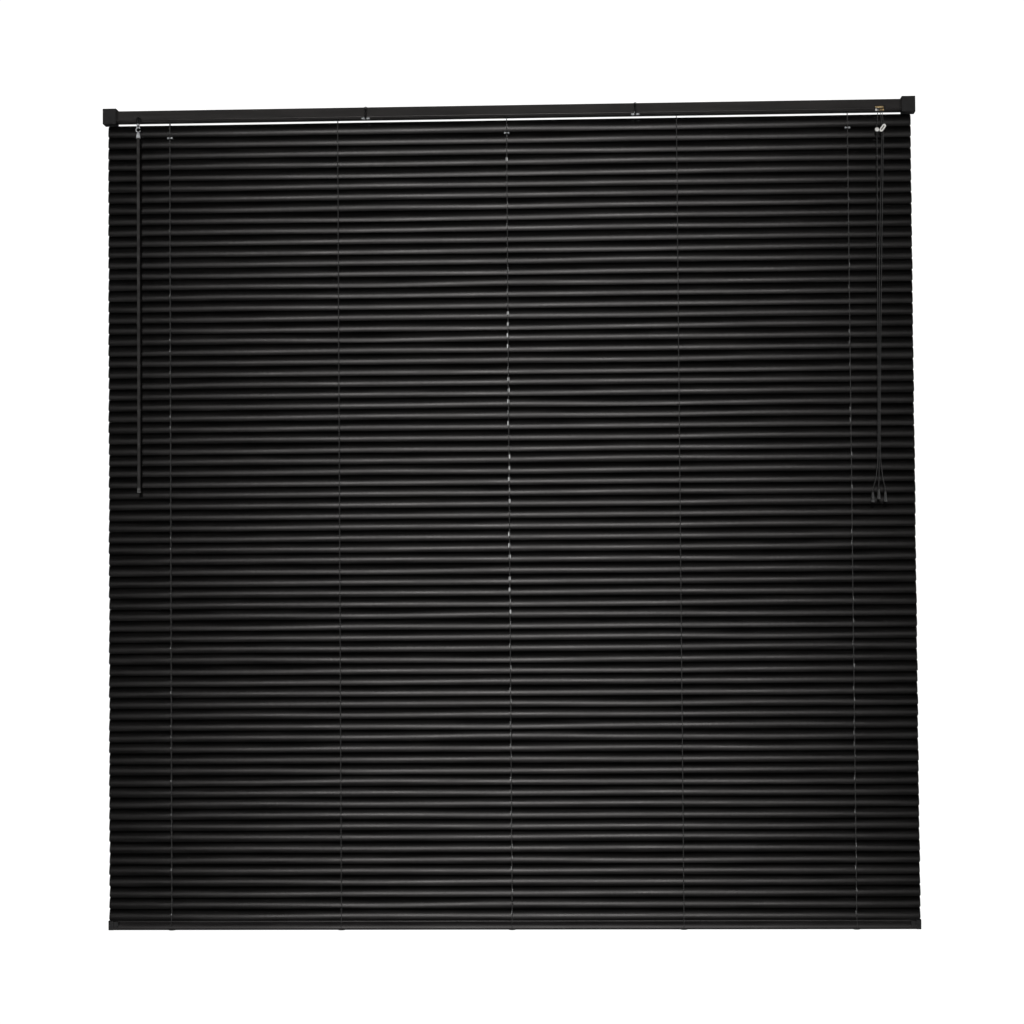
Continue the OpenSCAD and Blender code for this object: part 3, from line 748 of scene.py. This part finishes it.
def on_rim(dx, dv, width):
    """The point of the hole's obround edge in the direction (dx, dv) from its middle."""
    r = width / 2
    straight = ROUT_L / 2 - r
    low, high = 0.0, 1.0
    for _ in range(RIM_STEPS):
        t = (low + high) / 2
        x, v = dx * t, dv * t
        inside = math.hypot(x, max(0.0, abs(v) - straight)) < r
        low, high = (t, high) if inside else (low, t)
    return dx * low, dv * low


def slat_shape(i, hang):
    """One slat: its painted faces above and below, with its holes, rounded ends and thin edges."""
    shape = Shape()
    across, rows = len(COLUMNS), len(ROWS)
    inside = {(c0 + dc, r) for c0 in PATCHES for dc in range(3) for r in range(*HOLE_ROWS)}
    hidden = {(c0 + dc, r) for c0 in PATCHES for dc in (1, 2) for r in range(HOLE_ROWS[0] + 1, HOLE_ROWS[1])}
    layers = []
    for lift in (0.0, -SLAT_T):
        index = {}
        for c, x in enumerate(COLUMNS):
            for r, v in enumerate(ROWS):
                if (c, r) in hidden:
                    continue
                pull = corner_shift(v) if c in (0, across - 1) else 0.0
                inner = min(abs(x), SLAT_L / 2 - pull)
                index[c, r] = len(shape.points)
                shape.points.append(place_on_slat(i, hang, math.copysign(inner, x), v, lift))
        for k, c0 in enumerate(PATCHES):
            width = ROUT_W if k == MIDDLE_HOLE and i in OPEN_HOLES else SNUG_W
            for c, r in hole_loop(c0):
                dx, dv = on_rim((COLUMNS[c] - LIFTS[k]) * RAY, ROWS[r] * RAY, width)
                index["rim", c, r] = len(shape.points)
                shape.points.append(place_on_slat(i, hang, LIFTS[k] + dx, dv, lift))
        layers.append(index)
    for index in layers:
        for c in range(across - 1):
            for r in range(rows - 1):
                if (c, r) not in inside:
                    shape.faces.append([index[c, r], index[c + 1, r], index[c + 1, r + 1], index[c, r + 1]])
        for c0 in PATCHES:
            loop = hole_loop(c0)
            for a, b in zip(loop, loop[1:] + loop[:1]):
                shape.faces.append([index[a], index[b], index[("rim", *b)], index[("rim", *a)]])
    top, under = layers
    border = [(c, 0) for c in range(across - 1)] + [(across - 1, r) for r in range(rows - 1)]
    border += [(c, rows - 1) for c in range(across - 1, 0, -1)] + [(0, r) for r in range(rows - 1, 0, -1)]
    for a, b in zip(border, border[1:] + border[:1]):
        shape.faces.append([top[a], top[b], under[b], under[a]])
    for c0 in PATCHES:
        loop = [("rim", *p) for p in hole_loop(c0)]
        for a, b in zip(loop, loop[1:] + loop[:1]):
            shape.faces.append([top[a], top[b], under[b], under[a]])
    return shape


RUNG_R = 0.22 * MM
RUNG_HALF = 13.1 * MM
RUNG_ASIDE = 0.8 * MM
RUNG_CLEAR = 0.3 * MM
RUNG_STEPS = 10


def rung_shape(i, hang):
    """The ladders' cross threads at one slat: at each ladder one runs over it and one under it."""
    shape = Shape()
    for x in LADDERS:
        for side, lift in ((1, RUNG_CLEAR), (-1, -SLAT_T - RUNG_CLEAR)):
            path = []
            for s in range(RUNG_STEPS + 1):
                v = RUNG_HALF * (2 * s / RUNG_STEPS - 1)
                path.append(place_on_slat(i, hang, x + side * RUNG_ASIDE - hang.shift, v, lift))
            shape.tube(path, RUNG_R, 6)
    return shape


def stay_on_axis(obj, below):
    """Gives a slat that rides on its group's leading slat, below pitches under it, a mesh of its own."""
    if below == 0:
        return
    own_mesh(obj)


def hung_slat(i, lead, number):
    """Slat i and its rungs, riding on the leading slat of their group."""
    hang = Hang(i)
    body = "lead_" + number
    node = ("slat_" if i == lead else "slats_") + number
    blade = slat_shape(i, hang).piece(f"blade_{i + 1:02d}", SLAT_PAINT, body, "slat_enamel", [node])
    rungs = rung_shape(i, hang).piece(f"rungs_{i + 1:02d}", LADDER_CORD, body, "cord")
    for piece in (blade, rungs):
        stay_on_axis(piece, i - lead)


for group in range(GROUPS):
    for slat in range(group_first(group), group_first(group + 1)):
        hung_slat(slat, group_lead(group), f"{group + 1:02d}")

# ---------------------------------------------------------------------------
# Ladder strings, lift cords and what is on them
# ---------------------------------------------------------------------------

ROD_Z = -3 * MM
STRING_IN = 7.6 * MM
STRING_OFF = 0.65 * MM
# The strings' joint with each rung: (height in mm, radius as a share of the string's)
SWELL = ((1.6, 1.0), (0.7, 1.3), (0, 1.45), (-0.7, 1.3), (-1.6, 1.0))
LIFT_STEPS = 40


def gather(obj):
    """Gives a cord a mesh of its own."""
    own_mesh(obj)


def string_path(x, side):
    """A ladder string's points and radii, a little thicker where each rung joins it."""
    near = SLAT_Y + side * STRING_IN
    away = SLAT_Y + side * (HALF_W * math.cos(CLOSED_TILT) + STRING_OFF)
    start = slat_axis(0) + HALF_W * math.sin(CLOSED_TILT) + 1 * MM
    path = [Vector((x, near, ROD_Z)), Vector((x, near, HEAD_FLOOR)), Vector((x, away, start))]
    radii = [STRING_R] * 3
    for i in range(SLATS):
        z = slat_axis(i) + side * HALF_W * math.sin(CLOSED_TILT)
        for dz, swell in SWELL:
            if z + dz * MM < start - 1 * MM:
                path.append(Vector((x, away, z + dz * MM)))
                radii.append(STRING_R * swell)
    path.append(Vector((x, away, RAIL_TOP + 1 * MM)))
    radii.append(STRING_R)
    return path, radii


def ladder_string(x, side, word, number):
    """One upright string of a ladder."""
    path, radii = string_path(x, side)
    line = Shape()
    line.tube(path, radii, 8)
    name = f"{word}_string_{number}"
    string = line.piece(name, LADDER_CORD, f"{word}_strings", "cord", [f"ladder_{word}_strings"], 60)
    gather(string)


def lift_cord(x, number):
    """A lift cord from inside the headrail down to the bottom rail."""
    line = Shape()
    top = HEAD_FLOOR + 1 * MM
    path = [Vector((x, LIFT_Y, top + (RAIL_TOP - top) * s / LIFT_STEPS)) for s in range(LIFT_STEPS + 1)]
    line.tube(path, CORD_R, 10)
    cord = line.piece(f"lift_cord_{number}", PULL_CORD, "root", "cord", ["lift_cords"], 60)
    gather(cord)


inner_low, inner_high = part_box("inner_cord_stops")
INNER_Z = (inner_low.z + inner_high.z) / 2
INNER_LOBE = [
    (0.01, 2.3), (0.9, 2.1), (1.5, 1.6), (1.85, 0.6), (1.85, -0.9), (1.4, -1.7), (0.8, -2.1), (0.01, -2.2),
]
INNER_LOBE_X = 3.6 * MM
# The bridge's sections: (place along it, half its height) in mm
INNER_BRIDGE = [(-3.2, 1.1), (-2.2, 1.1), (-1.3, 0.9), (1.3, 0.9), (2.2, 1.1), (3.2, 1.1)]


def inner_stop(x, number):
    """A clear cord stop: two rounded lobes, one each side of the cord, and the bridge between them."""
    shape = Shape()
    for s in (-1, 1):
        centre = Vector((x + s * INNER_LOBE_X, LIFT_Y - 0.1 * MM, INNER_Z - 0.1 * MM))
        shape.lathe(centre, in_metres(INNER_LOBE), 24)
    bridge = []
    for dx, h in INNER_BRIDGE:
        section = obround(2.2 * MM, 2 * h * MM, 6)
        bridge.append([Vector((x + dx * MM, LIFT_Y + p.x, INNER_Z + p.y)) for p in section])
    shape.loft(bridge)
    name = f"inner_cord_stop_{number}"
    shape.piece(name, CLEAR_PLASTIC, "root", "clear_plastic", ["inner_cord_stops"])


for string_side, string_word in ((-1, "front"), (1, "rear")):
    for n, ladder_x in enumerate(LADDERS):
        ladder_string(ladder_x, string_side, string_word, n + 1)
for n, lift_x in enumerate(LIFTS):
    lift_cord(lift_x, n + 1)
for n, lift_x in enumerate(LIFTS):
    inner_stop(lift_x, n + 1)

# ---------------------------------------------------------------------------
# Bottom rail, with the ladders' loops over its front
# ---------------------------------------------------------------------------

RAIL_H = RAIL_TOP - RAIL_BOTTOM
RAIL_D = (rail_high.y - rail_low.y) / 2
WALL = 0.7 * MM
STATIONS = 60
# The rail's front from its top edge down: (in from the rail's front, below its top) in mm
RAIL_SKIRT = [
    (4.8, 0), (3.8, 0.25), (3.35, 0.9), (3.15, 4), (2.7, 7), (2.0, 10), (1.1, 13), (0.1, 15.9), (0, 16.6),
    (0.2, 17.3), (0.9, 17.8),
]


def rail_front(inset):
    """The front half of the rail's outline in (across, up), drawn in by inset."""
    d, low, top = RAIL_D - inset, inset, RAIL_H - inset
    return [(-d + x * MM, max(low, top - z * MM)) for x, z in RAIL_SKIRT] + [(-d + 3 * MM, low)]


def rail_section(x, inset):
    """The rail's outline at x: a flat top, and sides that flare out to their lower edges."""
    front = rail_front(inset)
    outline = front + [(-y, z) for y, z in reversed(front)]
    return [Vector((x, SLAT_Y + y, RAIL_BOTTOM + z)) for y, z in outline]


def rail_channel():
    """The rail as a tube that is open at both ends, where its caps go in."""
    rail = Shape()
    places = [rail_low.x + (rail_high.x - rail_low.x) * i / STATIONS for i in range(STATIONS + 1)]
    rail.rings([rail_section(x, 0) for x in places] + [rail_section(x, WALL) for x in reversed(places)])
    rail.piece("rail_channel", RAIL_PAINT, "rail", "headrail_enamel", ["bottom_rail"])


def rail_string(x, number):
    """A ladder's front string where it goes over the rail's front to its button underneath."""
    loop = Shape()
    path = [Vector((x, SLAT_Y - HALF_W * math.cos(CLOSED_TILT) - 0.6 * MM, RAIL_TOP + 0.6 * MM))]
    path += [Vector((x, SLAT_Y + y - 0.45 * MM, RAIL_BOTTOM + z + 0.1 * MM)) for y, z in rail_front(0)]
    path.append(Vector((x, SLAT_Y - 6 * MM, RAIL_BOTTOM - 0.4 * MM)))
    loop.tube(path, STRING_R, 8)
    loop.piece(f"rail_loop_{number}", LADDER_CORD, "rail", "cord", (), 60)


rail_channel()
for n, ladder_x in enumerate(LADDERS):
    rail_string(ladder_x, n + 1)

# ---------------------------------------------------------------------------
# Valance clips, and the fold along the headrail's face
# ---------------------------------------------------------------------------


def extruded(name, outline, spans, material, slot, stands_for=()):
    """An outline of (Y, Z) in metres drawn along X over each span."""
    shape = Shape()
    for a, b in spans:
        shape.loft([[Vector((x, y, z)) for y, z in outline] for x in (a, b)])
    shape.piece(name, material, "root", slot, stands_for)


head_low, head_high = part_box("headrail")
clip_low, clip_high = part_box("valance_clips")
JAW_HALF, STRAP_HALF = 8 * MM, 2 * MM
JAW_TOP = 1.8 * MM
CLIP_GAP = 0.2 * MM
CLIP_EASE = 0.25 * MM
# What is left open between a strap and its jaw, so that their faces don't coincide
PARTED = 1e-5


def clip_outlines():
    """Outlines of a clip's strap, which goes round the headrail, and of its jaw below."""
    face, under, over = head_low.y - CLIP_GAP, head_low.z - CLIP_GAP, head_high.z + CLIP_GAP
    front, low, high = clip_low.y, clip_low.z, clip_high.z
    hook = face + 5 * MM
    r = CLIP_EASE
    strap = [(front, low), (hook, low), (hook, under), (face, under), (face, over), (hook, over)]
    strap += [(hook, high), (front + r, high), (front, high - r)]
    jaw = [(front + r, low), (clip_high.y - r, low), (clip_high.y, low + r), (clip_high.y, under)]
    jaw += [(face, under), (face, under + JAW_TOP), (front + r, under + JAW_TOP)]
    jaw += [(front, under + JAW_TOP - r), (front, low + r)]
    return strap, jaw


def clip(word, x):
    """A clear valance clip with its middle at x."""
    strap, jaw = clip_outlines()
    spans = [(x - STRAP_HALF, x + STRAP_HALF)]
    extruded("clip_strap_" + word, strap, spans, CLEAR_STRAP, "clear_plastic", ["valance_clips"])
    spans = [(x - JAW_HALF, x - STRAP_HALF - PARTED), (x + STRAP_HALF + PARTED, x + JAW_HALF)]
    extruded("clip_jaw_" + word, jaw, spans, CLEAR_PLASTIC, "clear_plastic", ["valance_clips"])


# The fold near the face's lower edge: (Y from the face, Z from FOLD_Z) in mm, and half the gaps in it that
# leave room for the tilter's stem and the cord lock
FOLD_Z = head_low.z + 3.4 * MM
FOLD = [(0.1, 0.8), (-0.01, 0.7), (-0.26, -1.4), (-0.2, -1.8), (0.1, -2.0)]
STEM_GAP, LOCK_GAP = 6.5 * MM, 11.6 * MM


def headrail_fold():
    """The raised fold along the face, from bracket to bracket."""
    outline = [(head_low.y + y * MM, FOLD_Z + z * MM) for y, z in FOLD]
    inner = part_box("bracket_right")[0].x
    stem = middle("tilter_stem").x
    spans = [(-inner, stem - STEM_GAP), (stem + STEM_GAP, LOCK_X - LOCK_GAP), (LOCK_X + LOCK_GAP, inner)]
    extruded("headrail_fold", outline, spans, RAIL_PAINT, "headrail_enamel")


clip("left", clip_low.x + JAW_HALF)
clip("right", clip_high.x - JAW_HALF)
headrail_fold()

# ---------------------------------------------------------------------------
# CAD nodes that keep their shape and get their finish here
# ---------------------------------------------------------------------------

FINISHES = {
    "headrail": HEAD_PAINT,
    "headrail_end_caps": BLACK_PLASTIC,
    "bracket_left": BRACKET_PAINT,
    "bracket_right": BRACKET_PAINT,
    "bracket_door_left": BRACKET_PAINT,
    "bracket_door_right": BRACKET_PAINT,
    "tilt_rod": BRIGHT_STEEL,
    "ladder_drums": WHITE_PLASTIC,
    "ladder_cradles": BLACK_PLASTIC,
    "tilter_housing": BLACK_PLASTIC,
    "tilter_gear": WHITE_PLASTIC,
    "tilter_worm": WHITE_PLASTIC,
    "tilter_stem": BLACK_PLASTIC,
    "wand_hook": BRIGHT_STEEL,
    "wand_ferrule": BRIGHT_STEEL,
    "wand": WAND_PLASTIC,
    "cord_lock": BLACK_PLASTIC,
    "cord_lock_roller": BRASS,
    "bottom_rail_caps": BLACK_PLASTIC,
    "ladder_buttons": BLACK_PLASTIC,
}

# The rounding of the edges, in mm
EASED = {
    "headrail": 0.5, "headrail_end_caps": 0.35, "bracket_left": 0.3, "bracket_right": 0.3,
    "bracket_door_left": 0.3, "bracket_door_right": 0.3, "bottom_rail_caps": 0.4, "wand": 0.35,
    "cord_lock": 0.2,
}


def ease_edges(obj, width):
    """Rounds a CAD node's sharp edges with modifiers."""
    weld = obj.modifiers.new("weld", "WELD")
    weld.merge_threshold = 1e-6
    ease = obj.modifiers.new("eased_edges", "BEVEL")
    ease.width = width
    ease.segments = 3
    ease.limit_method = "ANGLE"
    ease.angle_limit = math.radians(35)


for node, finish in FINISHES.items():
    if node in EASED:
        ease_edges(frame["nodes"][node], EASED[node] * MM)
    for slot in frame["nodes"][node].material_slots:
        slot.material = finish

# ---------------------------------------------------------------------------
# Floor and lights
# ---------------------------------------------------------------------------

FLOOR_BELOW = 0.75
FLOOR_FRONT, FLOOR_BACK, FLOOR_HALF = -9.0, 3.2, 7.0
KEY_PLACE, KEY_SIZE, KEY_WATTS, KEY_COLOUR = (-0.65, -14.0, 6.25), (4.1, 0.5), 142, (1, 0.965, 0.95)
FILL_X, FILL_Y, FILL_Z, FILL_SIZE, FILL_WATTS = 6.0, -4.0, -0.6, (2.0, 2.0), 250
AMBIENT, BACKGROUND = 0.02, 1.1
WHITE = (1, 1, 1)


def pale(name, colour):
    """A plain pale stage surface with a trace of mottle."""
    material, tree, shader, where = new_material(name)
    mottle = ranged(tree, noise(tree, where, scale=3, detail=3), 0, 1)
    lighter = [min(1, 1.02 * c) for c in colour]
    tree.links.new(mixed(tree, mottle, colour, lighter), shader.inputs["Base Color"])
    shader.inputs["Roughness"].default_value = 0.9
    return material


def stage_floor():
    """A plain floor under the blind and in front of it."""
    left, right, floor_z = -FLOOR_HALF, FLOOR_HALF, cad_low.z - FLOOR_BELOW
    corners = [(left, FLOOR_FRONT), (right, FLOOR_FRONT), (right, FLOOR_BACK), (left, FLOOR_BACK)]
    mesh = bpy.data.meshes.new("floor")
    mesh.from_pydata([(x, y, floor_z) for x, y in corners], [], [[0, 1, 2, 3]])
    mesh.materials.append(pale("floor_paint", (0.9, 0.9, 0.9)))
    obj = bpy.data.objects.new("floor", mesh)
    bpy.context.scene.collection.objects.link(obj)


def area_light(name, place, size, watts, colour=WHITE):
    """A soft light of size (width, height) that faces the blind's middle."""
    data = bpy.data.lights.new(name, "AREA")
    data.shape = "RECTANGLE"
    data.size, data.size_y = size
    data.energy = watts
    data.color = colour
    light = bpy.data.objects.new(name, data)
    light.location = place
    ahead = (cad_low + cad_high) / 2 - Vector(place)
    light.rotation_euler = ahead.to_track_quat("-Z", "Y").to_euler()
    bpy.context.scene.collection.objects.link(light)


def white_world():
    """A faint white ambient light, behind which the camera sees plain white."""
    world = bpy.data.worlds.new("world")
    bpy.context.scene.world = world
    world.use_nodes = True
    tree = world.node_tree
    ambient = tree.nodes["Background"]
    seen = tree.nodes.new("ShaderNodeBackground")
    for node, strength in ((ambient, AMBIENT), (seen, BACKGROUND)):
        node.inputs["Color"].default_value = (*WHITE, 1)
        node.inputs["Strength"].default_value = strength
    ray = tree.nodes.new("ShaderNodeLightPath")
    mix = tree.nodes.new("ShaderNodeMixShader")
    tree.links.new(ray.outputs["Is Camera Ray"], mix.inputs["Fac"])
    tree.links.new(ambient.outputs["Background"], mix.inputs[1])
    tree.links.new(seen.outputs["Background"], mix.inputs[2])
    tree.links.new(mix.outputs["Shader"], tree.nodes["World Output"].inputs["Surface"])


stage_floor()
area_light("key", KEY_PLACE, KEY_SIZE, KEY_WATTS, KEY_COLOUR)
for fill_x in (-FILL_X, FILL_X):
    area_light("side_fill", (fill_x, FILL_Y, FILL_Z), FILL_SIZE, FILL_WATTS)
white_world()
bpy.context.scene.view_settings.view_transform = "Standard"
